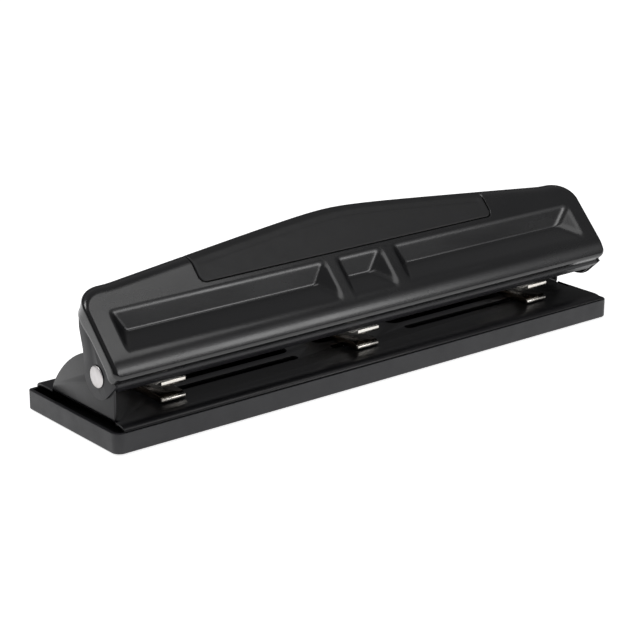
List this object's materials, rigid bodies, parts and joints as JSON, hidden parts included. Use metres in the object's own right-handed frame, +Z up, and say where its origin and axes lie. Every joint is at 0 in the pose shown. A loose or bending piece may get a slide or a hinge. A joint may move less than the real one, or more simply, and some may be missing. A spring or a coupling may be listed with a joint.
{
  "type": "three-hole paper punch",
  "caption": "Desktop lever punch for letter paper: sliding punch heads on a steel base between two ears, a long pivoting handle with a soft grip, and a clip-in chip tray.",
  "frame": {"origin": "centre of the footprint on the surface the punch stands on", "axes": "+X along the punch to the right seen from the front, -Y towards the front where the paper enters, +Z up"},
  "size_m": [0.291, 0.07, 0.0726],
  "materials": {
    "cover_black": "satin-gloss black moulding",
    "lever_enamel": "semi-matte black enamel",
    "base_enamel": "semi-matte black enamel",
    "tray_plastic": "fine matte black moulding",
    "grip_rubber": "soft matte black",
    "foot_rubber": "matte black",
    "jaw_nickel": "bright nickel plate",
    "rivet_nickel": "satin nickel plate",
    "bright_steel": "turned bright steel",
    "hardened_steel": "ground hardened steel",
    "spring_steel": "drawn spring wire"
  },
  "bodies": {
    "tray": {"chip_tray": "tray_plastic", "foot_pad_front_left": "foot_rubber", "foot_pad_front_right": "foot_rubber", "foot_pad_rear_left": "foot_rubber", "foot_pad_rear_right": "foot_rubber"},
    "base": {"base_frame": "base_enamel", "pivot_rivet_left": "rivet_nickel", "pivot_rivet_right": "rivet_nickel"},
    "handle": {"lever_frame": "lever_enamel", "handle_cover": "cover_black", "grip_pad": "grip_rubber", "press_bar": "bright_steel", "bar_clip_left": "bright_steel", "bar_clip_right": "bright_steel", "cover_screw_1": "bright_steel", "cover_screw_2": "bright_steel", "cover_screw_3": "bright_steel", "cover_screw_4": "bright_steel"},
    "head_left": {"jaw_frame_left": "jaw_nickel", "guide_bush_left": "bright_steel", "return_spring_left": "spring_steel", "clamp_screw_left": "jaw_nickel"},
    "pin_left": {"punch_pin_left": "hardened_steel", "spring_washer_left": "jaw_nickel", "retaining_clip_left": "spring_steel"},
    "head_centre": {"jaw_frame_centre": "jaw_nickel", "guide_bush_centre": "bright_steel", "return_spring_centre": "spring_steel", "clamp_screw_centre": "jaw_nickel"},
    "pin_centre": {"punch_pin_centre": "hardened_steel", "spring_washer_centre": "jaw_nickel", "retaining_clip_centre": "spring_steel"},
    "head_right": {"jaw_frame_right": "jaw_nickel", "guide_bush_right": "bright_steel", "return_spring_right": "spring_steel", "clamp_screw_right": "jaw_nickel"},
    "pin_right": {"punch_pin_right": "hardened_steel", "spring_washer_right": "jaw_nickel", "retaining_clip_right": "spring_steel"}
  },
  "joints": [
    {"name": "tray_release", "type": "slide", "parent": "tray", "child": "base", "axis": [0, 0, 1], "range_m": [0, 0.02]},
    {"name": "handle_pivot", "type": "hinge", "parent": "base", "child": "handle", "pos_m": [0, -0.0172, 0.0295], "axis": [-1, 0, 0], "range_deg": [0, 22], "stiffness_Nm_per_rad": 0.6, "springref_deg": -20.05},
    {"name": "head_slide_left", "type": "slide", "parent": "base", "child": "head_left", "axis": [1, 0, 0], "range_m": [0, 0.073]},
    {"name": "pin_travel_left", "type": "slide", "parent": "head_left", "child": "pin_left", "axis": [0, 0, -1], "range_m": [0, 0.0072], "deforming": ["return_spring_left"]},
    {"name": "head_slide_centre", "type": "slide", "parent": "base", "child": "head_centre", "axis": [1, 0, 0], "range_m": [-0.01, 0.01]},
    {"name": "pin_travel_centre", "type": "slide", "parent": "head_centre", "child": "pin_centre", "axis": [0, 0, -1], "range_m": [0, 0.0072], "deforming": ["return_spring_centre"]},
    {"name": "head_slide_right", "type": "slide", "parent": "base", "child": "head_right", "axis": [1, 0, 0], "range_m": [-0.073, 0]},
    {"name": "pin_travel_right", "type": "slide", "parent": "head_right", "child": "pin_right", "axis": [0, 0, -1], "range_m": [0, 0.0072], "deforming": ["return_spring_right"]}
  ],
  "couplings": [
    {"joint": "pin_travel_left", "follows": "handle_pivot", "m_per_rad": 0.0184},
    {"joint": "pin_travel_centre", "follows": "handle_pivot", "m_per_rad": 0.0184},
    {"joint": "pin_travel_right", "follows": "handle_pivot", "m_per_rad": 0.0184}
  ]
}
